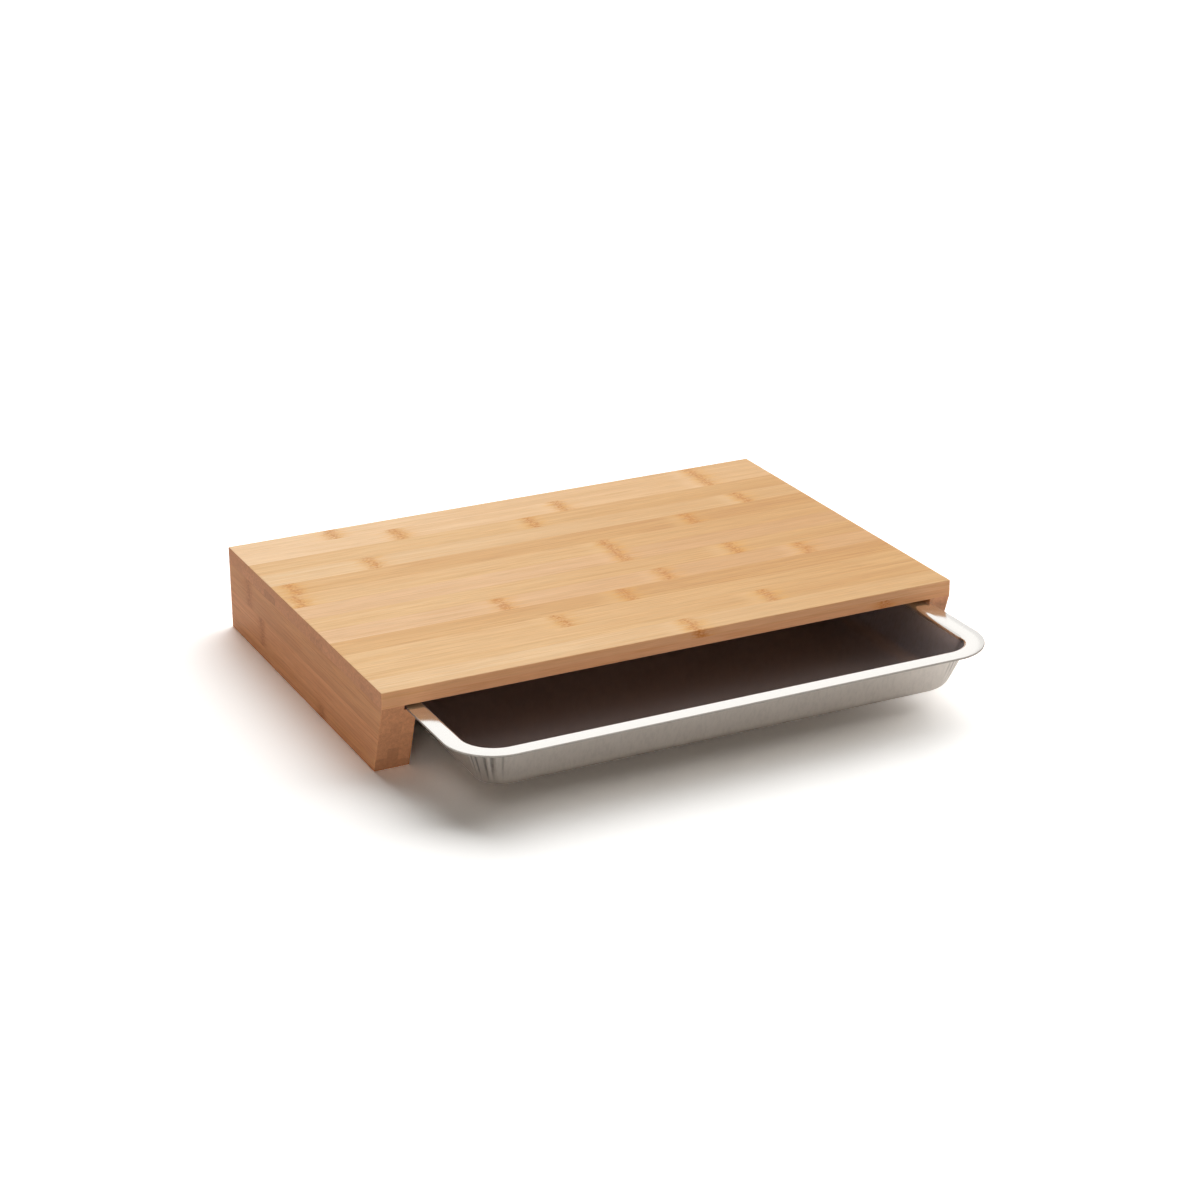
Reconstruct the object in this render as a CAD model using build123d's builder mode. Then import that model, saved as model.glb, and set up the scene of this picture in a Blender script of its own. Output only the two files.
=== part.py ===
from build123d import *
import math
import os

os.makedirs("parts", exist_ok=True)

# A bamboo cutting board that stands on two side rails, with a steel tray that slides under it.
# +X is to the right, +Y to the back and +Z up. The origin lies on the table, under the middle of
# the board and its drawn-out tray.

# ---------------------------------------------------------------- driving dimensions, in mm

# The slab: two plies of bamboo strips, glued with their joints out of step. The upper ply is laid
# from whole strips, and the last one is trimmed. The under ply starts on a narrower strip.
board_width = 380.0
board_depth = 255.0
upper_ply_thickness = 5.0
under_ply_thickness = 5.0
slab_strips = 13
slab_trim = 2.4
under_ply_first_strip = 12.0

# The rails that carry the slab: three plies each, with their strips standing on edge.
rail_height = 45.0
rail_front_setback = 15.0
outer_ply_thickness = 7.0
middle_ply_thickness = 7.0
inner_ply_thickness = 8.0
rail_strips = 3
rail_strip_width = 18.5
outer_ply_first_strip = 8.5
middle_ply_first_strip = 15.0
inner_ply_first_strip = 5.5

# What sanding takes off the board's outer edges.
easing = 0.5

# The grooves that the tray's rim runs in, under the slab and over each rail's inner ply.
groove_height = 3.2
rim_lift = 0.25
rim_side_clearance = 1.0
rim_stop_clearance = 0.5

# The tray, drawn from one sheet, and how far it stands out of the board.
sheet = 1.2
tray_height = 31.2
rim_width = 10.75
rim_corner_radius = 31.0
rim_bend_radius = 2.0
bottom_bend_radius = 10.5
wall_draft = 20.0
tray_out = 82.0

# ---------------------------------------------------------------- places worked out from them

slab_thickness = upper_ply_thickness + under_ply_thickness
slab_strip_width = (board_depth + slab_trim) / slab_strips
rail_thickness = outer_ply_thickness + middle_ply_thickness + inner_ply_thickness
board_front = tray_out - (board_depth + tray_out) / 2
board_back = board_front + board_depth
board_side = board_width / 2

groove_floor = rail_height - groove_height
groove_side = board_side - outer_ply_thickness - middle_ply_thickness
groove_end = board_back - rail_thickness

tray_width = 2 * (groove_side - rim_side_clearance)
tray_length = board_depth - rail_thickness - rim_stop_clearance
tray_middle = board_front - tray_out + tray_length / 2
rim_underside = groove_floor + rim_lift
rim_top = rim_underside + sheet


# ---------------------------------------------------------------- wooden strips


def strip_spans(height, count, first_strip, strip_width):
    """Where a ply's strips begin and end: a first strip, whole strips, and one with what is left."""
    whole_strips = [first_strip + number * strip_width for number in range(count - 1)]
    lines = [0.0, *whole_strips, height]
    return list(zip(lines, lines[1:]))


def write_strip(blank, label, low, high):
    """Cut one strip, the stretch between two corners, out of a glued and sanded blank."""
    size = high - low
    with BuildPart() as strip:
        add(blank)
        with Locations((low + high) / 2):
            Box(size.X, size.Y, size.Z, mode=Mode.INTERSECT)
    strip.part.label = label
    export_step(strip.part, f"parts/{label}.step")


# ---------------------------------------------------------------- slab

with BuildPart() as slab:
    with BuildSketch(Plane.XY.offset(rail_height)):
        with Locations((0, (board_front + board_back) / 2)):
            Rectangle(board_width, board_depth)
    extrude(amount=slab_thickness)
    fillet(slab.edges().filter_by(Axis.Z), easing)
    fillet(slab.faces().sort_by(Axis.Z)[-1].edges(), easing)


def write_slab_ply(name, bottom, thickness, count, first_strip):
    """Cut one of the slab's plies into strips that run across the board, from front to back."""
    spans = strip_spans(board_depth, count, first_strip, slab_strip_width)
    for number, (start, end) in enumerate(spans, 1):
        low = Vector(-board_side, board_front + start, bottom)
        high = Vector(board_side, board_front + end, bottom + thickness)
        write_strip(slab.part, f"{name}_strip_{number:02d}", low, high)


upper_ply_bottom = rail_height + under_ply_thickness
write_slab_ply("under", rail_height, under_ply_thickness, slab_strips + 1, under_ply_first_strip)
write_slab_ply("top", upper_ply_bottom, upper_ply_thickness, slab_strips, slab_strip_width)

# ---------------------------------------------------------------- rails


def side_rail_blank(left_face):
    """A side rail before its groove is cut: its front face leans in towards the table."""
    with BuildPart() as rail:
        with BuildSketch(Plane.YZ.offset(left_face)):
            with BuildLine():
                Polyline(
                    (board_front, rail_height),
                    (board_front + rail_front_setback, 0),
                    (board_back, 0),
                    (board_back, rail_height),
                    close=True,
                )
            make_face()
        extrude(amount=rail_thickness)
        glued_face = rail.faces().sort_by(Axis.Z)[-1]
        fillet(rail.edges() - glued_face.edges(), easing)
    return rail.part


def rail_plies(inner_ply_height):
    """Each ply's name, its distances from the rail's outer face, its height and its first strip."""
    middle_start = outer_ply_thickness
    inner_start = middle_start + middle_ply_thickness
    return (
        ("outer", 0.0, middle_start, rail_height, outer_ply_first_strip),
        ("middle", middle_start, inner_start, rail_height, middle_ply_first_strip),
        ("inner", inner_start, rail_thickness, inner_ply_height, inner_ply_first_strip),
    )


# The two side rails. Their inner plies stop below the slab, which leaves the grooves, and short of
# the board's back, which leaves the seats for the back rail's ends.
for side_name, side in (("left", -1), ("right", 1)):
    blank = side_rail_blank(min(side * board_side, side * (board_side - rail_thickness)))
    for ply, start, end, height, first_strip in rail_plies(groove_floor):
        faces = sorted((side * (board_side - start), side * (board_side - end)))
        ply_back = groove_end if ply == "inner" else board_back
        spans = strip_spans(height, rail_strips, first_strip, rail_strip_width)
        for number, (bottom, top) in enumerate(spans, 1):
            low = Vector(faces[0], board_front, bottom)
            high = Vector(faces[1], ply_back, top)
            write_strip(blank, f"{side_name}_rail_{ply}_strip_{number}", low, high)

# The back rail stands between the side rails' middle plies and closes the ends of the grooves.
with BuildPart() as back_rail:
    with BuildSketch(Plane.XY):
        with Locations((0, (groove_end + board_back) / 2)):
            Rectangle(2 * groove_side, rail_thickness)
    extrude(amount=rail_height)
    table_face = back_rail.faces().sort_by(Axis.Z)[0]
    fillet(table_face.edges().filter_by(Axis.X), easing)

for ply, start, end, height, first_strip in rail_plies(rail_height):
    spans = strip_spans(height, rail_strips, first_strip, rail_strip_width)
    for number, (bottom, top) in enumerate(spans, 1):
        low = Vector(-groove_side, board_back - end, bottom)
        high = Vector(groove_side, board_back - start, top)
        write_strip(back_rail.part, f"back_rail_{ply}_strip_{number}", low, high)

# ---------------------------------------------------------------- tray

# The wall's two skins are a sheet's thickness apart, measured square to the wall, which leans.
lean = math.radians(wall_draft)
skin_step = sheet / math.cos(lean)
outer_mouth_inset = rim_width
inner_mouth_inset = rim_width + skin_step - sheet * math.tan(lean)


def rim_outline(inset):
    """The rim's rounded outline, moved inwards; its corners keep their centres."""
    with Locations((0, tray_middle)):
        RectangleRounded(
            tray_width - 2 * inset, tray_length - 2 * inset, rim_corner_radius - inset
        )


with BuildPart() as tray:
    # The outside of the drawn form, tapering down from the rim, with its bottom bend.
    with BuildSketch(Plane.XY.offset(rim_underside)):
        rim_outline(outer_mouth_inset)
    extrude(amount=sheet - tray_height, taper=wall_draft)
    fillet(tray.faces().sort_by(Axis.Z)[0].edges(), bottom_bend_radius)

    # The flat rim around its mouth, and the bend from the rim's underside into the wall.
    with BuildSketch(Plane.XY.offset(rim_underside)):
        rim_outline(0)
    extrude(amount=sheet)
    rim_lower_face = tray.faces().filter_by(Plane.XY).sort_by(Axis.Z)[1]
    fillet(rim_lower_face.inner_wires().edges(), rim_bend_radius)

# The inside of the drawn form, a sheet's thickness within the outside.
with BuildPart() as tray_hollow:
    with BuildSketch(Plane.XY.offset(rim_top)):
        rim_outline(inner_mouth_inset)
    extrude(amount=sheet - tray_height, taper=wall_draft)
    fillet(tray_hollow.faces().sort_by(Axis.Z)[0].edges(), bottom_bend_radius - sheet)

with tray:
    add(tray_hollow.part, mode=Mode.SUBTRACT)
    rim_face = tray.faces().sort_by(Axis.Z)[-1]
    fillet(rim_face.inner_wires().edges(), rim_bend_radius + sheet)

tray.part.label = "tray"
export_step(tray.part, "parts/tray.step")
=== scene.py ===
# %% [markdown]
# # A bamboo cutting board with a steel drawer tray
#
# This lesson dresses a cutting board that was built in CAD. The board is glued up from bamboo
# strips, it stands on two side rails and a back rail, and a pressed steel tray slides in grooves
# under it. The CAD model already has every strip at its real size, so most of the work here is
# finish: grain that runs the right way in every strip, the culm's nodes, end grain, and steel.
#
# The first step loads the CAD model. Everything is in metres, with the table at height zero.

import math

import bpy
import numpy as np
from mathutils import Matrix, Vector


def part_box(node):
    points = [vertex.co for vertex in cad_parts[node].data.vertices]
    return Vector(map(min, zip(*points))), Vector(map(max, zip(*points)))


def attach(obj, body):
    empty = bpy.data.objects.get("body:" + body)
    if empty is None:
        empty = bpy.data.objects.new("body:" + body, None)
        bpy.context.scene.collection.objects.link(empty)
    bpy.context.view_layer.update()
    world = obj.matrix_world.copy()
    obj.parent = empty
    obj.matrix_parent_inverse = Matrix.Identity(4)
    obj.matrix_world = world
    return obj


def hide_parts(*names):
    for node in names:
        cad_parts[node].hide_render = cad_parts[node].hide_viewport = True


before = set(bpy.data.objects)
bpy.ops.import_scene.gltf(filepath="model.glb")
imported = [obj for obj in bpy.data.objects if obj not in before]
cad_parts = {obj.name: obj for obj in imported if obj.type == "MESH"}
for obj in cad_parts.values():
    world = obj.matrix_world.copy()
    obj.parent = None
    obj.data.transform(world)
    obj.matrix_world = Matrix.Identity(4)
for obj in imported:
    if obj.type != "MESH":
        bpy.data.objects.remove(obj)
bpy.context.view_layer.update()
MM = 0.001
X, Y, Z = 0, 1, 2
WHITE = (1.0, 1.0, 1.0, 1.0)

# %% [markdown]
# ## Where things are
#
# Places are read from the CAD nodes instead of being typed in again. The slab's front edge and
# left end are the lines that marks are measured from, and the tray's box gives its rim.

# %% Measure the board and the tray
slab_low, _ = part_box("under_strip_01")
_, slab_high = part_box("top_strip_13")
tray_low, tray_high = (np.array(corner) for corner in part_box("tray"))
board_left, board_front = slab_low.x, slab_low.y
board_width = slab_high.x - slab_low.x
print("slab from", tuple(slab_low), "to", tuple(slab_high))
print("tray from", tray_low, "to", tray_high)

# %% [markdown]
# ## The camera
#
# The camera looks down on the board's front left corner through a long lens, so that parallel
# edges stay nearly parallel. Azimuth turns it round the board from straight in front, and
# elevation lifts it above the table. It is aimed by building its rotation from those two angles.

# %% Set up the camera
CAMERA_AZIMUTH = -26.749
CAMERA_ELEVATION = 22.302
CAMERA_PLACE = (-0.6953, -1.3613, 0.6720)
CAMERA_LENS = 80.289
CAMERA_SENSOR = 36
CAMERA_NEAR = 0.05
CAMERA_FAR = 50

camera_data = bpy.data.cameras.new("camera")
camera_data.lens = CAMERA_LENS
camera_data.sensor_width = CAMERA_SENSOR
camera_data.clip_start = CAMERA_NEAR
camera_data.clip_end = CAMERA_FAR
camera = bpy.data.objects.new("camera", camera_data)
camera.location = CAMERA_PLACE
camera.rotation_euler = (math.radians(90 - CAMERA_ELEVATION), 0, math.radians(CAMERA_AZIMUTH))
bpy.context.scene.collection.objects.link(camera)
bpy.context.scene.camera = camera
print("camera at", CAMERA_PLACE, "lens", CAMERA_LENS)

# %% [markdown]
# ## Short calls for shader nodes
#
# A procedural material is a graph of small nodes. Wiring each one by hand takes several lines, so
# these helpers do it in one call: `add` makes a node and feeds its inputs, and the rest are the
# nodes that this scene uses most, each returning the output that the next call takes.

# %% Helpers for shader nodes


def screen(red, green, blue):
    """A colour given in screen values from 0 to 255, as the linear colour that a socket holds."""
    value = np.array([red, green, blue]) / 255
    # The sRGB curve: a straight line near black and a power above it.
    linear = np.where(value <= 0.04045, value / 12.92, ((value + 0.055) / 1.055) ** 2.4)
    return (*linear.tolist(), 1.0)


def feed(tree, socket, value):
    """Link a socket to another node's output, or write a plain value into it."""
    if isinstance(value, bpy.types.NodeSocket):
        tree.links.new(value, socket)
    else:
        socket.default_value = value


def add(tree, kind, inputs, **settings):
    """Make one shader node with its settings, and feed its inputs by name or number."""
    node = tree.nodes.new(f"ShaderNode{kind}")
    for name, value in settings.items():
        setattr(node, name, value)
    for key, value in inputs.items():
        feed(tree, node.inputs[key], value)
    return node


def maths(tree, operation, *values):
    """One arithmetic step on numbers or outputs."""
    return add(tree, "Math", dict(enumerate(values)), operation=operation).outputs[0]


def times(tree, first, second):
    """The product of two numbers or outputs."""
    return maths(tree, "MULTIPLY", first, second)


def swing(tree, value, middle, width):
    """A noise from 0 to 1, turned into a value that swings about a middle."""
    return maths(tree, "MULTIPLY_ADD", value, width, middle - width / 2)


def window(tree, value, start, end):
    """A smooth step: 0 up to start and 1 past end. It falls instead where end is below start."""
    inputs = {"Value": value, "From Min": start, "From Max": end}
    return add(tree, "MapRange", inputs, interpolation_type="SMOOTHSTEP").outputs["Result"]


def blend(tree, factor, first, second, how="MIX"):
    """Blend two colours by a factor. The node's own numbers for its colours are 6 and 7."""
    inputs = {0: factor, 6: first, 7: second}
    return add(tree, "Mix", inputs, data_type="RGBA", blend_type=how).outputs[2]


def tinted(tree, colour, tint):
    """A colour multiplied by another one, or by a number."""
    return blend(tree, 1.0, colour, tint, "MULTIPLY")


def part(tree, vector, axis):
    """One of a vector's three numbers."""
    return add(tree, "SeparateXYZ", {0: vector}).outputs[axis]


def stretched(tree, place, sizes, shift=(0, 0, 0)):
    """Coordinates in which one unit is as long as the pattern's feature along each axis."""
    scale = [1 / size for size in sizes]
    inputs = {"Vector": place, "Scale": scale, "Location": shift}
    return add(tree, "Mapping", inputs).outputs["Vector"]


def noise(tree, coords, detail, roughness):
    """Soft noise with features one unit across, from 0 to 1 around 0.5."""
    inputs = {"Vector": coords, "Scale": 1.0, "Detail": detail, "Roughness": roughness}
    return add(tree, "TexNoise", inputs).outputs["Fac"]


def new_material(name):
    """An empty material, and its node tree, principled shader and object coordinates."""
    material = bpy.data.materials.new(name)
    material.use_nodes = True
    tree = material.node_tree
    place = add(tree, "TexCoord", {}).outputs["Object"]
    return material, tree, tree.nodes["Principled BSDF"], place


# %% [markdown]
# ## Bamboo
#
# A bamboo culm is a tube with a solid node every so often. It is split into strips, planed flat
# and glued edge to edge. On a strip's face the fibres are fine, straight streaks; where a node
# was, a ragged brown mark crosses the strip; and on its cut end the fibres are dark dots.
#
# The noise is stretched along the grain, by up to fifty times or so, and sampled in three
# dimensions. A face along the grain then cuts it into streaks and an end cuts it into dots,
# without any unwrapping. Each strip gets its own shift into the noise, so that no two strips carry
# the same figure.

# %% Bamboo's patterns, finish and colours

# The patterns: feature length along the grain, width across it, noise detail and roughness.
FIGURE = (170 * MM, 7 * MM, 2, 0.5)
STREAK = (110 * MM, 2.2 * MM, 4, 0.6)
HAIRLINE = (60 * MM, 1.1 * MM, 3, 0.6)
FIBRE = (18 * MM, 0.6 * MM, 3, 0.7)
SHIFT_REACH = 60

# How strongly they show. Edges are the noise values between which a pattern fades in.
TONE_EDGES = (0.64, 0.36)
TONE_SHARE = 0.65
HAIRLINE_EDGES = (0.53, 0.60)
HAIRLINE_SHARE = 0.75
FIBRE_CONTRAST = 0.5
SHEEN_FADE_RAGGEDNESS = 0.5
GLUE_LINE = 0.3 * MM
GLUE_SHARE = 0.5

# The cut ends: dots of fibre bundles, scattered almost at random.
BUNDLE = 0.6 * MM
BUNDLE_SCATTER = 0.9
BUNDLE_EDGES = (0.15, 0.45)
BUNDLE_SHARE = 0.35
END_CONTRAST = 0.6

# The finish.
WOOD_ROUGHNESS = 0.55
ROUGHNESS_SWING = 0.14
END_ROUGHNESS = 0.12
WOOD_IOR = 1.45
WOOD_SPECULAR = 0.35
WOOD_BUMP = 0.35
WOOD_RELIEF = 0.05 * MM

# Each tone is a light and a dark wood, and the stain and the strokes of its node marks. The marks
# are bright on the pale wood and brown on the darker.
BRIGHT_MARK = (screen(223, 165, 76), screen(192, 124, 54))
BROWN_MARK = (screen(194, 128, 80), screen(178, 114, 72))
TONES = {
    "straw": (screen(229, 190, 139), screen(213, 166, 111), BRIGHT_MARK),
    "pale": (screen(232, 197, 152), screen(219, 177, 127), BRIGHT_MARK),
    "cream": (screen(238, 203, 162), screen(224, 183, 135), BRIGHT_MARK),
    "honey": (screen(223, 180, 125), screen(205, 154, 97), BRIGHT_MARK),
    "rosy": (screen(229, 189, 145), screen(214, 168, 119), BRIGHT_MARK),
    "rail": (screen(213, 152, 103), screen(191, 128, 83), BROWN_MARK),
    "rail_middle": (screen(222, 157, 108), screen(199, 132, 86), BROWN_MARK),
    "rail_low": (screen(225, 160, 110), screen(201, 135, 87), BROWN_MARK),
    "back": (screen(210, 155, 105), screen(192, 134, 86), BROWN_MARK),
    # Painted shade: the under ply's greyer tone stands in for the dim cast of the deep shade under
    # the slab, which the tray mirrors.
    "under": (screen(212, 174, 142), screen(194, 152, 120), BROWN_MARK),
}
# Painted shade: the redder tint of the strips' narrow sides, the warm cast of the shade on them.
SHADED_SIDE_TINT = (1.06, 0.94, 0.96, 1.0)
# Painted sheen: the tint that the top takes on towards the right, which leaves its left end paler.
SHEEN_FADE_TINT = screen(240, 228, 206)
END_COLOUR = screen(208, 149, 110)
BUNDLE_COLOUR = screen(150, 94, 60)
print("bamboo tones:", ", ".join(TONES))

# %% Helpers for grain
FACING_EDGES = (0.45, 0.75)


def grain_noise(tree, place, grain, pattern, shift):
    """A pattern's noise, drawn out along the grain's axis and narrow on the other two."""
    length, width, detail, roughness = pattern
    sizes = [width, width, width]
    sizes[grain] = length
    return noise(tree, stretched(tree, place, sizes, shift), detail, roughness)


def bell(tree, distance, width):
    """A bell curve, exp(-(distance / width) squared), which is 1 at distance zero."""
    share = maths(tree, "DIVIDE", distance, width)
    square = times(tree, share, share)
    return maths(tree, "EXPONENT", times(tree, square, -1))


def facing(tree, axis):
    """How squarely the surface faces along an axis: 1 on such a face and 0 on the others."""
    normal = add(tree, "NewGeometry", {}).outputs["Normal"]
    return window(tree, maths(tree, "ABSOLUTE", part(tree, normal, axis)), *FACING_EDGES)


# %% [markdown]
# A node leaves three things on a planed strip: a cluster of short brown strokes, a soft honey
# stain round it, and a paler patch on one side where the fibres dive under the surface. Each is a
# bell curve round the node's place along the grain, and noise of the right size breaks up the
# strokes and the stain.

# %% The marks of the culm's nodes
NODE_CORE = 4.4 * MM
NODE_STAIN = 10 * MM
NODE_PALE = 7 * MM
NODE_WANDER = 9 * MM
NODE_LINE = (60 * MM, 5 * MM, 3, 0.6)
NODE_STROKE = (2.0 * MM, 0.7 * MM, 3, 0.6)
NODE_BLOTCH = (11 * MM, 1.7 * MM, 3, 0.6)
STROKE_EDGES = (0.4, 0.56)
BLOTCH_EDGES = (0.34, 0.70)
PALE_SHARE = 0.35
STAIN_SHARE = 0.8
STROKE_SHARE = 0.9


def node_marks(tree, place, along, grain, shift, marks):
    """How much stroke, stain and pale patch each point has, for nodes at the given places.

    The node's line wanders across the strip: its place along the grain is moved by a noise that
    changes every few millimetres on the other two axes.
    """
    line = grain_noise(tree, place, grain, NODE_LINE, shift)
    moved = maths(tree, "ADD", along, swing(tree, line, 0, NODE_WANDER))
    stroke, stain, pale = 0.0, 0.0, 0.0
    for mark in marks:
        distance = maths(tree, "SUBTRACT", moved, mark)
        beside = maths(tree, "ADD", distance, NODE_STAIN)
        stroke = maths(tree, "MAXIMUM", bell(tree, distance, NODE_CORE), stroke)
        stain = maths(tree, "MAXIMUM", bell(tree, distance, NODE_STAIN), stain)
        pale = maths(tree, "MAXIMUM", bell(tree, beside, NODE_PALE), pale)
    strokes = grain_noise(tree, place, grain, NODE_STROKE, shift)
    blotch = grain_noise(tree, place, grain, NODE_BLOTCH, shift)
    stroke = times(tree, stroke, window(tree, strokes, *STROKE_EDGES))
    stain = times(tree, stain, window(tree, blotch, *BLOTCH_EDGES))
    return stroke, stain, pale


# %% [markdown]
# One strip's material mixes its light and dark tone by the figure and the streaks, and lays the
# hairlines, the node marks and the glue lines over them. The strip's narrow sides get a slightly
# redder tint than its flat face, which is painted shade, the warm cast of the shade on those faces,
# and its ends show the cut fibres.

# %% Make one strip's bamboo


def wood_tone(tree, place, grain, shift, tone):
    """The colour of the planed face, and the streaks and fibres that the other parts follow."""
    light, dark, _ = TONES[tone]
    figure = grain_noise(tree, place, grain, FIGURE, shift)
    streak = grain_noise(tree, place, grain, STREAK, shift)
    fibre = grain_noise(tree, place, grain, FIBRE, shift)
    hair = grain_noise(tree, place, grain, HAIRLINE, shift)
    # The mean of the figure and the streaks decides between the two tones.
    broad = maths(tree, "MULTIPLY_ADD", figure, 0.5, times(tree, streak, 0.5))
    shade = times(tree, window(tree, broad, *TONE_EDGES), TONE_SHARE)
    colour = blend(tree, shade, light, dark)
    hairline = times(tree, window(tree, hair, *HAIRLINE_EDGES), HAIRLINE_SHARE)
    colour = blend(tree, hairline, colour, dark)
    return tinted(tree, colour, swing(tree, fibre, 1, FIBRE_CONTRAST)), streak, fibre


def painted_sheen_fade(tree, along, streak):
    """Painted sheen: the top stays paler at the left and grows more honey-coloured to the right,
    sooner or later in each streak.
    """
    share = maths(tree, "DIVIDE", maths(tree, "SUBTRACT", along, board_left), board_width)
    share = maths(tree, "ADD", share, swing(tree, streak, 0, SHEEN_FADE_RAGGEDNESS))
    on_face = facing(tree, Z)
    return blend(tree, times(tree, window(tree, share, 0.0, 1.0), on_face), WHITE, SHEEN_FADE_TINT)


def glue_lines(tree, place, lane, streak):
    """How strongly the glue lines on a strip's two sides darken it, unevenly along them."""
    axis, low, high = lane
    across = part(tree, place, axis)
    from_low = maths(tree, "SUBTRACT", across, low)
    from_high = maths(tree, "SUBTRACT", high, across)
    nearest = maths(tree, "MINIMUM", from_low, from_high)
    line = maths(tree, "SUBTRACT", 1.0, window(tree, nearest, 0.0, GLUE_LINE))
    return times(tree, line, times(tree, streak, GLUE_SHARE))


def end_grain(tree, place, shift, streak, end_shade):
    """The cut end: brown, with the bundles of fibres as darker dots."""
    dots = stretched(tree, place, (BUNDLE, BUNDLE, BUNDLE), shift)
    inputs = {"Vector": dots, "Scale": 1.0, "Randomness": BUNDLE_SCATTER}
    distance = add(tree, "TexVoronoi", inputs).outputs["Distance"]
    bundle = maths(tree, "SUBTRACT", 1.0, window(tree, distance, *BUNDLE_EDGES))
    colour = tinted(tree, END_COLOUR, (end_shade, end_shade, end_shade, 1.0))
    colour = blend(tree, times(tree, bundle, BUNDLE_SHARE), colour, BUNDLE_COLOUR)
    return tinted(tree, colour, swing(tree, streak, 1, END_CONTRAST))


def finish_wood(tree, shader, fibre, is_end):
    """An oiled finish that is rougher on the ends, over a very shallow relief of the fibres."""
    roughness = swing(tree, fibre, WOOD_ROUGHNESS, ROUGHNESS_SWING)
    roughness = maths(tree, "MULTIPLY_ADD", is_end, END_ROUGHNESS, roughness)
    feed(tree, shader.inputs["Roughness"], roughness)
    bump = {"Height": fibre, "Strength": WOOD_BUMP, "Distance": WOOD_RELIEF}
    feed(tree, shader.inputs["Normal"], add(tree, "Bump", bump).outputs["Normal"])
    shader.inputs["IOR"].default_value = WOOD_IOR
    shader.inputs["Specular IOR Level"].default_value = WOOD_SPECULAR


def bamboo(name, grain, tone, seed, marks, lane, end_shade=1.0):
    """A strip of bamboo: grain along an axis, nodes at the marks and glue lines beside its lane."""
    material, tree, shader, place = new_material(name)
    shift = np.random.default_rng(seed).uniform(0, SHIFT_REACH, 3).tolist()
    light, _, (stain_colour, stroke_colour) = TONES[tone]
    along = part(tree, place, grain)
    colour, streak, fibre = wood_tone(tree, place, grain, shift, tone)
    # The top gets painted sheen: paler at the left end, more honey to the right.
    if grain == X:
        colour = tinted(tree, colour, painted_sheen_fade(tree, along, streak))
    stroke, stain, pale = node_marks(tree, place, along, grain, shift, marks)
    colour = blend(tree, times(tree, pale, PALE_SHARE), colour, light)
    colour = blend(tree, times(tree, stain, STAIN_SHARE), colour, stain_colour)
    colour = blend(tree, times(tree, stroke, STROKE_SHARE), colour, stroke_colour)
    colour = blend(tree, glue_lines(tree, place, lane, streak), colour, stroke_colour)
    # Painted shade on the narrow sides.
    on_shaded_side = facing(tree, lane[0])
    colour = blend(tree, on_shaded_side, colour, tinted(tree, colour, SHADED_SIDE_TINT))
    is_end = facing(tree, grain)
    colour = blend(tree, is_end, colour, end_grain(tree, place, shift, streak, end_shade))
    feed(tree, shader.inputs["Base Color"], colour)
    finish_wood(tree, shader, fibre, is_end)
    return material


# %% [markdown]
# ## Dress the slab
#
# Every strip keeps its CAD shape and gets a material of its own. The upper ply is what is seen
# most, so each of its strips has a listed tone and its own node marks, given in
# millimetres from the slab's left end.

# %% Paint the upper ply
UPPER_PLY = [
    ("pale", [203]),
    ("straw", [267]),
    ("straw", [137]),
    ("honey", [190]),
    ("rosy", [116, 227, 328]),
    ("straw", [287]),
    ("rosy", [217]),
    ("straw", [7, 218]),
    ("honey", [12, 288]),
    ("pale", [71, 338]),
    ("straw", [192]),
    ("cream", [106, 222, 332]),
    ("cream", [67, 332]),
]


def paint(node_name, material):
    """Give a CAD node one material."""
    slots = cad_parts[node_name].data.materials
    slots.clear()
    slots.append(material)


def strip_lane(node_name, axis):
    """A strip's two glue lines, as the axis across it and its two sides."""
    low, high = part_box(node_name)
    return axis, low[axis], high[axis]


for number, (tone, marks) in enumerate(UPPER_PLY, 1):
    node_name = f"top_strip_{number:02d}"
    places = [board_left + mark * MM for mark in marks]
    lane = strip_lane(node_name, Y)
    paint(node_name, bamboo(node_name, X, tone, number, places, lane))
print("upper ply painted:", len(UPPER_PLY), "strips")

# %% [markdown]
# The under ply shows on the slab's edges and from below. A seeded random generator places one node
# in each of its strips and varies the shade of the cut ends. The same seed gives the same draws
# every time. The strip that shows in the slab's front edge has the paler tone of the top; the
# others have a greyer tone, which is painted shade, the dim cast of the deep shade under the slab.

# %% Paint the under ply
UNDER_STRIPS = 14
UNDER_SEED = 100
UNDER_NODE = (30 * MM, 350 * MM)
UNDER_SHADE = (0.97, 1.05)
# Three of the cut ends are darker.
DARK_ENDS = {2: 0.91, 6: 0.92, 10: 0.85}
for number in range(1, UNDER_STRIPS + 1):
    node_name = f"under_strip_{number:02d}"
    seed = UNDER_SEED + number
    random = np.random.default_rng(seed)
    places = [board_left + random.uniform(*UNDER_NODE)]
    end_shade = DARK_ENDS.get(number, random.uniform(*UNDER_SHADE))
    lane = strip_lane(node_name, Y)
    tone = "rosy" if number == 1 else "under"
    paint(node_name, bamboo(node_name, X, tone, seed, places, lane, end_shade))
print("under ply painted:", UNDER_STRIPS, "strips")

# %% [markdown]
# ## Dress the rails
#
# A side rail's strips stand on edge and run from front to back, so their grain axis is Y. Towards
# the table the strips' faces are slightly lighter, painted light that makes up for the light that
# reaches them less there, and their cut ends darker, which is painted shade. The side rails' tones
# are redder than the top's, partly their own colour and partly painted shade, the warm cast of the
# shade they stand in. The back rail runs across the board, so its grain axis is X like the slab's.

# %% Paint the rails
RAIL_SEED = 200
RAIL_PLIES = ("outer", "middle", "inner")
# Painted light and shade: the lower strips' faces are lighter where less light reaches them, and
# their cut ends darker, as the shade near the table.
RAIL_TONES = {1: ("rail_low", 0.75), 2: ("rail_middle", 0.91), 3: ("rail", 0.99)}
RAIL_MARKS = {"outer_strip_1": 96, "outer_strip_2": 197, "outer_strip_3": 219}
OTHER_RAIL_MARK = 150
BACK_NODE = (50 * MM, 330 * MM)

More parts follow.
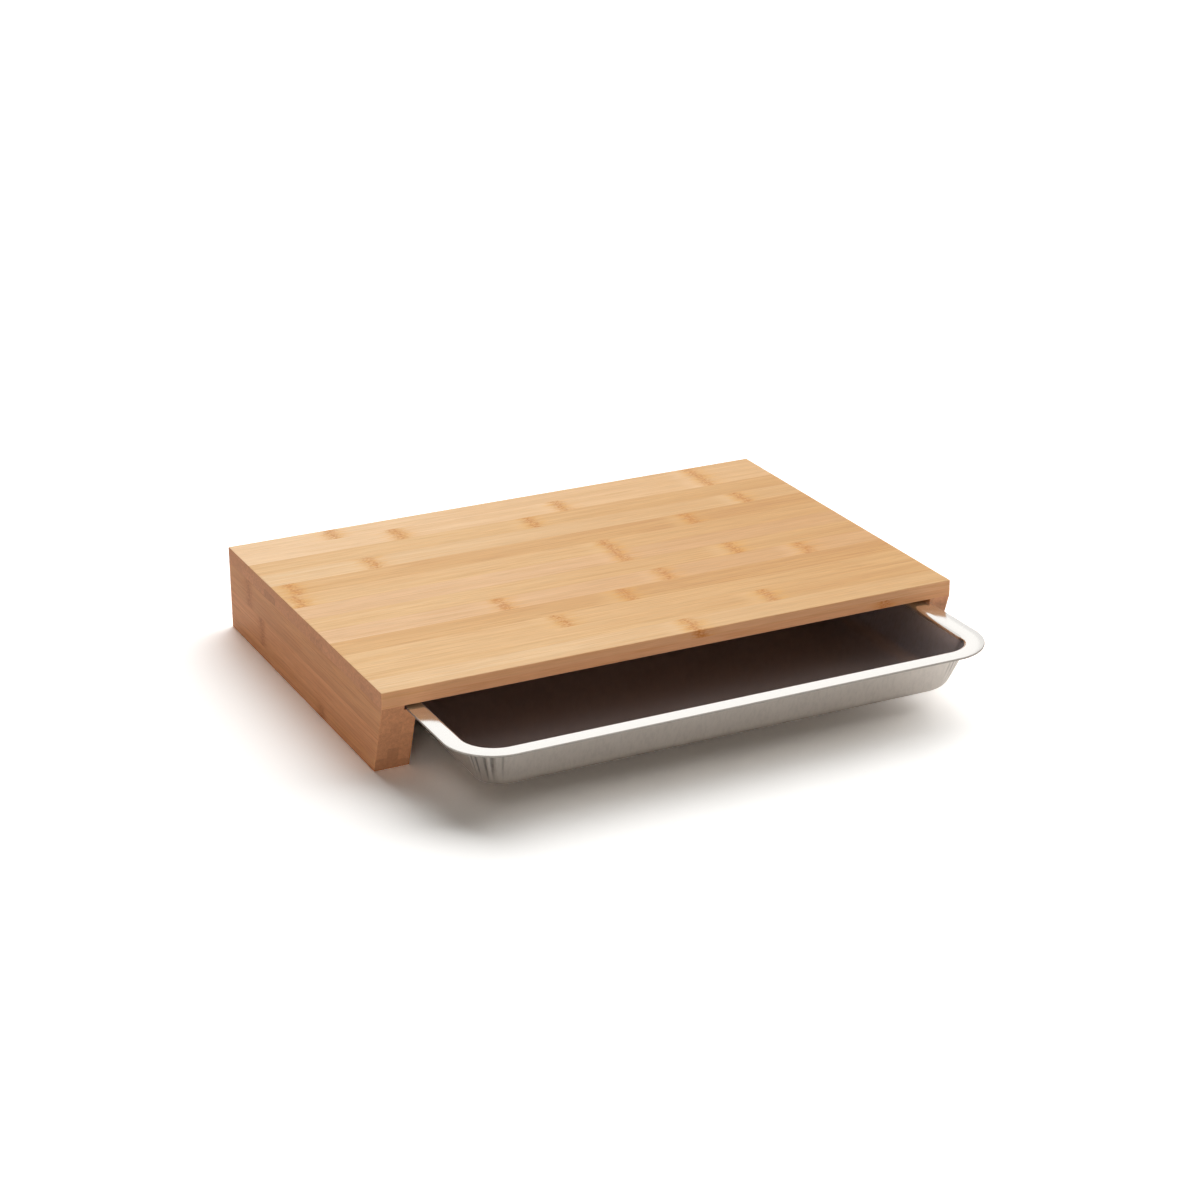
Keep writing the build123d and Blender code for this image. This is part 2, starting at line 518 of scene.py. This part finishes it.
seed = RAIL_SEED
for side in ("left", "right"):
    for ply in RAIL_PLIES:
        for number, (tone, end_shade) in RAIL_TONES.items():
            seed += 1
            strip_name = f"{ply}_strip_{number}"
            node_name = f"{side}_rail_{strip_name}"
            places = [board_front + RAIL_MARKS.get(strip_name, OTHER_RAIL_MARK) * MM]
            lane = strip_lane(node_name, Z)
            paint(node_name, bamboo(node_name, Y, tone, seed, places, lane, end_shade))
for ply in RAIL_PLIES:
    for number in RAIL_TONES:
        seed += 1
        node_name = f"back_rail_{ply}_strip_{number}"
        places = [board_left + np.random.default_rng(seed).uniform(*BACK_NODE)]
        lane = strip_lane(node_name, Z)
        paint(node_name, bamboo(node_name, X, "back", seed, places, lane))
print("rail strips painted:", seed - RAIL_SEED)

# %% [markdown]
# ## The steel tray
#
# The tray is drawn from one sheet: a flat rim, a tight bend, walls that lean, and a wide bend into
# the floor. Its surface is a profile carried round a rounded rectangle. One parameter runs along
# the profile, over the sheet's inner skin, round the rim's cut edge and back along the outer skin.
# The other runs round the tray. A corner's radius shrinks as the profile moves inwards, as if all
# its arcs shared one centre, until it is as small as the sheet can be drawn to.

# %% The tray's sizes
SHEET = 1.2 * MM
RIM_WIDTH = 10.75 * MM
RIM_CORNER = 31 * MM
RIM_BEND = 2.0 * MM
RIM_EDGE = 0.3 * MM
FLOOR_CORNER = 13 * MM
FLOOR_BEND = 10.5 * MM
CORNER_EASE = 2 * MM
WALL_LEAN = math.radians(20)
tray_centre = (tray_low + tray_high) / 2
tray_half = (tray_high - tray_low) / 2
rim_top = tray_high[Z]
floor_under = tray_low[Z]
print("tray", tray_half * 2, "rim's top", rim_top, "floor's underside", floor_under)

# %% [markdown]
# The profile is a list of points, each a distance in from the rim and a height. The two skins of
# the sheet are the same line a sheet's thickness apart, so one function makes both. Another makes
# the outline that each point is carried round.

# %% Work out the profile and the outlines
BEND_STEPS = 8
WALL_ROWS = 12
EDGE_ROWS = 4
CORNER_STEPS = 56
SIDE_STEPS = 14


def arc(centre, radius, start, end, count):
    """Points on an arc in the profile's plane, between two angles in degrees."""
    angle = np.radians(np.linspace(start, end, count))
    return np.array(centre) + radius * np.column_stack([np.cos(angle), np.sin(angle)])


def skin(offset):
    """One skin of the tray's profile, from the rim inwards and down to the floor's edge.

    The outer skin (offset 0) is a wall line at a lean, rounded into the rim's underside above and
    into the floor below; the inner skin is the same line a sheet's thickness away from it.
    """
    top = rim_top - SHEET + offset
    floor = floor_under + offset
    rim_radius = RIM_BEND + offset
    floor_radius = FLOOR_BEND - offset
    # The wall's line passes this far in at the top plane.
    corner = RIM_WIDTH + offset / math.cos(WALL_LEAN) - offset * math.tan(WALL_LEAN)
    reach = math.tan((math.pi / 2 - WALL_LEAN) / 2)
    rim_centre = (corner - rim_radius * reach, top - rim_radius)
    foot = corner + (top - floor) * math.tan(WALL_LEAN)
    floor_centre = (foot + floor_radius * reach, floor + floor_radius)
    lean_degrees = math.degrees(WALL_LEAN)
    rim_bend = arc(rim_centre, rim_radius, 90, lean_degrees, BEND_STEPS)
    floor_bend = arc(floor_centre, floor_radius, 180 + lean_degrees, 270, 2 * BEND_STEPS)
    share = np.linspace(0, 1, WALL_ROWS + 2)[1:-1][:, None]
    wall = rim_bend[-1] * (1 - share) + floor_bend[0] * share
    return np.vstack([rim_bend, wall, floor_bend])


def tray_profile():
    """The inner skin, the rim's cut edge and the outer skin, and how many points come first."""
    inner = skin(SHEET)[::-1]
    outer = skin(0)
    over = arc((RIM_EDGE, rim_top - RIM_EDGE), RIM_EDGE, 90, 180, EDGE_ROWS)
    under = arc((RIM_EDGE, rim_top - SHEET + RIM_EDGE), RIM_EDGE, 180, 270, EDGE_ROWS)
    return np.vstack([inner, over, under, outer]), len(inner)


def round_rectangles(inset):
    """Outlines of a rounded rectangle moved in from the rim: one row of points per inset.

    Each corner is an arc. Its radius is the rim's radius less the inset, and eases into the floor
    corner's radius, so that it never gets smaller. A side joins each arc's end to the next one's
    start.
    """
    beyond = (RIM_CORNER - inset - FLOOR_CORNER) / 2
    radius = (FLOOR_CORNER + beyond + np.hypot(beyond, CORNER_EASE))[:, None]
    reach = tray_half[:Z] - inset[:, None]
    turns = np.linspace(0, math.pi / 2, CORNER_STEPS + 1)[None, :]
    corners = []
    for quarter, (sign_x, sign_y) in enumerate(((1, 1), (-1, 1), (-1, -1), (1, -1))):
        angle = turns + quarter * math.pi / 2
        x = sign_x * (reach[:, :1] - radius) + radius * np.cos(angle)
        y = sign_y * (reach[:, 1:] - radius) + radius * np.sin(angle)
        corners.append(np.stack([x, y], -1))
    share = np.linspace(0, 1, SIDE_STEPS + 1)[1:-1][None, :, None]
    outline = []
    for corner, following in zip(corners, corners[1:] + corners[:1]):
        side = corner[:, -1:] * (1 - share) + following[:, :1] * share
        outline += [corner, side]
    return np.concatenate(outline, 1)


# %% [markdown]
# The outlines are stacked into one array of points. Where the sheet is pulled round the corners of
# the die it puckers slightly, so the walls there get shallow upright waves. They are a sum of sine
# waves with random heights and phases, and fade out towards the rim, the floor and the sides.

# %% Work out the tray's surface
PUCKER = 0.25 * MM
PUCKER_SEED = 7
PUCKER_COUNTS = range(5, 12)
PUCKER_HEIGHTS = (0.2, 1)
PUCKER_FADE_IN = 0.2
PUCKER_FADE_OUT = (0.4, 0.9)
PUCKER_INSIDE = 0.4


def corner_waves(columns):
    """The puckers' wave round one outline: sines in the corners and nothing on the sides."""
    quarter = columns // 4
    turn = (np.arange(columns) % quarter) / CORNER_STEPS
    on_corner = np.where(turn <= 1, np.sqrt(np.sin(np.pi * np.clip(turn, 0, 1))), 0)
    random = np.random.default_rng(PUCKER_SEED)
    wave = np.zeros(columns)
    for count in PUCKER_COUNTS:
        height = random.uniform(*PUCKER_HEIGHTS)
        wave += height * np.sin(2 * np.pi * (count * turn + random.uniform()))
    return wave * on_corner


def tray_surface():
    """Points of the tray's surface as rows round the tray, and how far each is puckered."""
    profile, inner_count = tray_profile()
    inset, height = profile.T
    flat = round_rectangles(inset)
    points = np.dstack([flat, np.repeat(height[:, None], flat.shape[1], 1)])
    depth = (rim_top - height) / (rim_top - floor_under)
    fade_start, fade_end = PUCKER_FADE_OUT
    fade_out = np.clip((fade_end - depth) / (fade_end - fade_start), 0, 1)
    fade = np.clip(depth / PUCKER_FADE_IN, 0, 1) * fade_out
    fade[:inner_count] *= PUCKER_INSIDE
    pucker = fade[:, None] * corner_waves(flat.shape[1])[None, :]
    outward = flat / np.linalg.norm(flat, axis=2, keepdims=True)
    points[:, :, :Z] -= outward * (PUCKER * pucker)[:, :, None]
    points[:, :, :Z] += tray_centre[:Z]
    return points, pucker, inner_count


points, pucker, inner_count = tray_surface()
print("tray rows:", points.shape)

# %% [markdown]
# ## Steel
#
# Stainless sheet comes off the mill with a fine, even grain. It is a metal, so its colour is the
# tint of its reflections, and its look is all in the roughness: low enough that the rim mirrors
# the room, and uneven enough that the reflections break up. Drawing leaves the walls and the floor
# duller, with faint upright lines on the walls where the sheet slid over the edge of the die. The
# hollows of the puckers get painted shade, for the darker floor that they mirror and their own
# shadow. The inside and the outside have slightly different tints, and these are painted too: the
# inside's lilac is the purple cast of its deep shade, and the outside's warmth is partly the warm
# shadow that the walls mirror. The rim's sheared edge is a dull grey.

# %% Make the steel
STEEL = screen(228, 225, 220)
# Painted tints: the inside's lilac stands in for the purple cast of its deep shade, and the
# outside's warmth partly for the warm shadow that the walls mirror.
DRAWN_STEEL = {"inside": screen(211, 205, 208), "outside": screen(214, 206, 198)}
SCUFFED_STEEL = screen(184, 178, 172)
# Painted shade for the hollows of the puckers.
HOLLOW_SHADE_STEEL = screen(150, 144, 139)
CUT_STEEL = screen(132, 122, 112)

# The patterns: feature sizes on the three axes, noise detail and roughness.
TOOTH = ((0.5 * MM, 0.5 * MM, 0.5 * MM), 3, 0.6)
CLOUD = ((60 * MM, 60 * MM, 60 * MM), 3, 0.5)
DRAW_LINE = ((1.8 * MM, 1.8 * MM, 40 * MM), 4, 0.65)
BURR = ((0.7 * MM, 0.7 * MM, 0.7 * MM), 3, 0.6)
SCUFF_EDGES = (0.42, 0.68)
SCUFF_SHARE = 0.3
# Where the painted shade of the hollows fades in, how strong it is, and how unevenly.
HOLLOW_SHADE_EDGES = (0.0, 1.1)
HOLLOW_SHADE_SHARE = 0.8
HOLLOW_SHADE_SWING = 1.2
BURR_SHARE = 0.5

# The finish. The rim's own one fades in between these depths below its top.
RIM_FINISH_DEPTH = (4 * MM, 2 * MM)
STEEL_METALLIC = 0.93
RIM_ROUGHNESS = 0.06
DRAWN_ROUGHNESS = 0.27
CLOUD_ROUGHNESS = 0.08
TOOTH_ROUGHNESS = 0.06
CUT_ROUGHNESS = 0.5
CUT_SWING = 0.2
TOOTH_HEIGHT = 0.5
LINE_HEIGHT = 4.0
STEEL_BUMP = 0.3
STEEL_RELIEF = 0.03 * MM


def steel_noise(tree, place, pattern):
    """One of the steel's patterns."""
    sizes, detail, roughness = pattern
    return noise(tree, stretched(tree, place, sizes), detail, roughness)


def satin_steel(side):
    """One side of the sheet: a bright rim, drawn walls with a fine tooth and draw lines, and
    painted shade in the puckers' hollows.
    """
    material, tree, shader, place = new_material(f"satin_steel_{side}")
    tooth = steel_noise(tree, place, TOOTH)
    cloud = steel_noise(tree, place, CLOUD)
    drawn = steel_noise(tree, place, DRAW_LINE)
    on_wall = maths(tree, "SUBTRACT", 1.0, facing(tree, Z))
    below, above = (rim_top - depth for depth in RIM_FINISH_DEPTH)
    on_rim = window(tree, part(tree, place, Z), below, above)

    scuff = times(tree, window(tree, drawn, *SCUFF_EDGES), times(tree, on_wall, SCUFF_SHARE))
    drawn_colour = blend(tree, scuff, DRAWN_STEEL[side], SCUFFED_STEEL)
    colour = blend(tree, on_rim, drawn_colour, STEEL)
    # Painted shade in the puckers' hollows, for the darker floor that they mirror.
    pucker_depth = add(tree, "Attribute", {}, attribute_name="pucker").outputs["Fac"]
    uneven = swing(tree, drawn, HOLLOW_SHADE_SHARE, HOLLOW_SHADE_SWING)
    hollow_shade = times(tree, window(tree, pucker_depth, *HOLLOW_SHADE_EDGES), uneven)
    feed(tree, shader.inputs["Base Color"], blend(tree, hollow_shade, colour, HOLLOW_SHADE_STEEL))
    shader.inputs["Metallic"].default_value = STEEL_METALLIC

    smoother = RIM_ROUGHNESS - DRAWN_ROUGHNESS
    roughness = maths(tree, "MULTIPLY_ADD", on_rim, smoother, DRAWN_ROUGHNESS)
    roughness = maths(tree, "MULTIPLY_ADD", cloud, CLOUD_ROUGHNESS, roughness)
    roughness = maths(tree, "MULTIPLY_ADD", tooth, TOOTH_ROUGHNESS, roughness)
    feed(tree, shader.inputs["Roughness"], roughness)

    lines = times(tree, drawn, times(tree, on_wall, LINE_HEIGHT))
    height = maths(tree, "MULTIPLY_ADD", tooth, TOOTH_HEIGHT, lines)
    bump = {"Height": height, "Strength": STEEL_BUMP, "Distance": STEEL_RELIEF}
    feed(tree, shader.inputs["Normal"], add(tree, "Bump", bump).outputs["Normal"])
    return material


def cut_steel():
    """The rim's sheared edge: the same steel, dull and grey."""
    material, tree, shader, place = new_material("cut_steel")
    burr = steel_noise(tree, place, BURR)
    colour = blend(tree, times(tree, burr, BURR_SHARE), CUT_STEEL, STEEL)
    feed(tree, shader.inputs["Base Color"], colour)
    feed(tree, shader.inputs["Roughness"], swing(tree, burr, CUT_ROUGHNESS, CUT_SWING))
    shader.inputs["Metallic"].default_value = 1.0
    return material


print("steel reflects", STEEL[:3])

# %% [markdown]
# ## Build the tray
#
# The mesh joins neighbouring rows with four-sided faces. Smaller copies of the first and the last
# row close the floor, inside and outside, and end in a fan of triangles at its middle. The tray
# has three material slots: inside, cut edge and outside. It takes the CAD tray's place and rides
# on the tray's body.

# %% Build the tray
FLOOR_ROWS = 7
INSIDE, CUT_EDGE, OUTSIDE = 0, 1, 2


def close_floor(row, height):
    """Rows that shrink a floor outline to its middle, all at one height, and that middle."""
    share = np.linspace(1, 0, FLOOR_ROWS + 1)[1:-1][:, None, None]
    middle = np.array([tray_centre[X], tray_centre[Y], height])
    return middle + (row[None] - middle) * share, middle


def grid_faces(rows, columns):
    """Quads between neighbouring rows of a closed band."""
    index = np.arange(rows * columns).reshape(rows, columns)
    beside = np.roll(index, -1, 1)
    return np.stack([index[:-1], beside[:-1], beside[1:], index[1:]], -1).reshape(-1, 4)


def tray_slots(rows, columns, rows_before):
    """The material slot of every face: the bands between rows, and then the two fans."""
    band = np.repeat(np.arange(rows - 1), columns) - rows_before - inner_count
    outer_slots = np.where(band < 2 * EDGE_ROWS - 1, CUT_EDGE, OUTSIDE)
    band_slots = np.where(band < 0, INSIDE, outer_slots)
    return np.concatenate([band_slots, np.repeat((INSIDE, OUTSIDE), columns)]).astype(np.int32)


def build_tray():
    """The steel tray as one closed mesh, with the puckers' depth as an attribute."""
    floor_in, middle_in = close_floor(points[0], floor_under + SHEET)
    floor_out, middle_out = close_floor(points[-1], floor_under)
    grid = np.concatenate([floor_in[::-1], points, floor_out])
    rows, columns = grid.shape[:2]
    vertices = np.vstack([grid.reshape(-1, 3), middle_in, middle_out])
    first = np.arange(columns)
    last = first + (rows - 1) * columns
    middle = len(vertices) - 2
    fan_in = np.column_stack([np.roll(first, -1), first, np.full(columns, middle)])
    fan_out = np.column_stack([last, np.roll(last, -1), np.full(columns, middle + 1)])
    faces = grid_faces(rows, columns).tolist() + fan_in.tolist() + fan_out.tolist()

    mesh = bpy.data.meshes.new("steel_tray")
    mesh.from_pydata(vertices.tolist(), [], faces)
    mesh.polygons.foreach_set("use_smooth", np.ones(len(faces), bool))
    for finish in (satin_steel("inside"), cut_steel(), satin_steel("outside")):
        mesh.materials.append(finish)
    mesh.polygons.foreach_set("material_index", tray_slots(rows, columns, len(floor_in)))
    depths = np.zeros(len(vertices), np.float32)
    start = len(floor_in) * columns
    depths[start:start + pucker.size] = pucker.ravel()
    mesh.attributes.new("pucker", "FLOAT", "POINT").data.foreach_set("value", depths)
    mesh.update()
    tray = bpy.data.objects.new("steel_tray", mesh)
    bpy.context.scene.collection.objects.link(tray)
    return tray


steel_tray = build_tray()
print("tray faces:", len(steel_tray.data.polygons))
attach(steel_tray, "tray")
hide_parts("tray")

# %% [markdown]
# ## Floor, room and lamps
#
# The board stands on a plain white table. One very broad lamp stands behind it on the right, so
# the shadow is soft and falls towards the viewer and to the left. A low warm lamp in front keeps
# the rails from going black, and the room adds a little warm light from everywhere. A weak third
# lamp behind the board is the only one that shows in mirrors, and brightens the tray's flat rim.
#
# The table is drawn brighter than white where the camera sees it, so that it blends into the white
# room, while it lights the object as a table of ordinary paint would. Light Path tells the shader
# which kind of ray is asking, and a mirror sees a table in between the two. The paint is a warm
# white, which shows in the shadow.

# %% Lay the floor
FLOOR_REACH = 12.0
FLOOR_LIT = (0.85, 0.845, 0.835, 1.0)
FLOOR_SEEN = (1.39, 1.385, 1.37, 1.0)
FLOOR_MIRRORED = 0.3


def make_floor():
    """A wide white floor that shows the object's shadow."""
    mesh = bpy.data.meshes.new("floor")
    corners = np.array([(-1, -1, 0), (1, -1, 0), (1, 1, 0), (-1, 1, 0)]) * FLOOR_REACH
    mesh.from_pydata(corners.tolist(), [], [(0, 1, 2, 3)])
    floor = bpy.data.objects.new("floor", mesh)
    bpy.context.scene.collection.objects.link(floor)
    material = bpy.data.materials.new("floor_white")
    material.use_nodes = True
    tree = material.node_tree
    tree.nodes.remove(tree.nodes["Principled BSDF"])
    path = add(tree, "LightPath", {}).outputs
    mirrored = times(tree, path["Is Glossy Ray"], FLOOR_MIRRORED)
    seen = maths(tree, "MAXIMUM", path["Is Camera Ray"], mirrored)
    paint_colour = blend(tree, seen, FLOOR_LIT, FLOOR_SEEN)
    diffuse = add(tree, "BsdfDiffuse", {"Color": paint_colour}).outputs[0]
    feed(tree, tree.nodes["Material Output"].inputs["Surface"], diffuse)
    mesh.materials.append(material)
    print("floor reaches", FLOOR_REACH, "m each way")


make_floor()

# %% Light the room
ROOM_LIGHT = 0.055
ROOM_TINT = (1.0, 0.9, 0.78, 1.0)


def set_room():
    """A world that is white where it is seen or mirrored, and a soft warm light elsewhere."""
    world = bpy.data.worlds.new("room")
    bpy.context.scene.world = world
    world.use_nodes = True
    tree = world.node_tree
    path = add(tree, "LightPath", {}).outputs
    seen = maths(tree, "MAXIMUM", path["Is Camera Ray"], path["Is Glossy Ray"])
    strength = maths(tree, "MULTIPLY_ADD", seen, 1 - ROOM_LIGHT, ROOM_LIGHT)
    feed(tree, tree.nodes["Background"].inputs["Color"], blend(tree, seen, ROOM_TINT, WHITE))
    feed(tree, tree.nodes["Background"].inputs["Strength"], strength)


set_room()
print("room light", ROOM_LIGHT)

# %% Hang the lamps
KEY_LAMP = {"azimuth": 127, "elevation": 38, "strength": 4.4, "spread": 94}
RIM_LAMP = {"azimuth": 171, "elevation": 30, "strength": 0.19, "spread": 56, "mirrored": True}
FILL_LAMP = {"azimuth": 325, "elevation": 3, "strength": 1.35, "spread": 20, "tint": (1, 0.89, 0.79)}


def hang_lamp(name, azimuth, elevation, strength, spread, tint=(1, 1, 1), mirrored=False):
    """A distant lamp at an azimuth and an elevation, spread over an angle of the sky."""
    data = bpy.data.lights.new(name, "SUN")
    data.energy = strength
    data.angle = math.radians(spread)
    data.color = tint
    lamp = bpy.data.objects.new(name, data)
    lamp.visible_glossy = mirrored
    lamp.rotation_euler = (math.radians(90 - elevation), 0, math.radians(azimuth))
    bpy.context.scene.collection.objects.link(lamp)


hang_lamp("key", **KEY_LAMP)
hang_lamp("rim", **RIM_LAMP)
hang_lamp("fill", **FILL_LAMP)
bpy.context.scene.view_settings.view_transform = "Standard"
print("three lamps hung")
